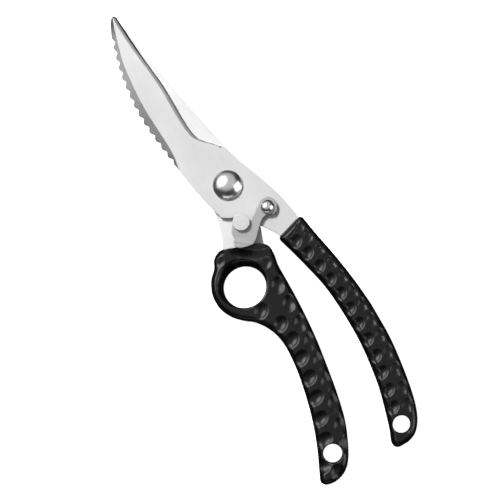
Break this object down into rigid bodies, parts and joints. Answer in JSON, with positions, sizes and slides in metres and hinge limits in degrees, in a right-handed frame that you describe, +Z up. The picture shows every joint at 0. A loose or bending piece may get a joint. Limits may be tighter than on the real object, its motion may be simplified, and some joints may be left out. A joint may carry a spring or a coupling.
{
  "type": "poultry shears",
  "caption": "Curved poultry shears lying flat: scalloped scaler blade, bone notch, domed pivot, locking latch and two dimpled moulded grips, one with a finger ring.",
  "frame": {"origin": "centre of the object's box in X and Y, on the surface it lies on", "axes": "+Y towards the blade tips, +X towards the plain grip, +Z up out of the front face"},
  "size_m": [0.0658, 0.2539, 0.0137],
  "materials": {
    "blade_steel": "satin ground stainless steel",
    "polished_steel": "polished stainless steel",
    "latch_steel": "satin stamped stainless steel",
    "spring_steel": "bright spring steel",
    "grip_black": "semi-gloss black moulded plastic"
  },
  "bodies": {
    "rear": {"rear_blade": "blade_steel", "ring_grip": "grip_black", "pivot_bolt": "polished_steel", "pivot_nut": "polished_steel", "pivot_washer": "polished_steel", "return_spring": "spring_steel", "stop_pin": "spring_steel", "catch_stud": "latch_steel"},
    "front": {"front_blade": "blade_steel", "plain_grip": "grip_black", "latch_rivet": "polished_steel", "latch_washer": "latch_steel"},
    "latch": {"latch_lever": "latch_steel"}
  },
  "joints": [
    {"name": "blade_open", "type": "hinge", "parent": "rear", "child": "front", "pos_m": [0.001, 0.0265, 0.006], "axis": [0, 0, 1], "range_deg": [0, 28], "deforming": ["return_spring"]},
    {"name": "latch_swing", "type": "hinge", "parent": "front", "child": "latch", "pos_m": [0.0125, 0.0073, 0.009], "axis": [0, 0, 1], "range_deg": [0, 33.6]}
  ],
  "couplings": [
    {"joint": "latch_swing", "follows": "blade_open", "ratio": 1.2}
  ]
}
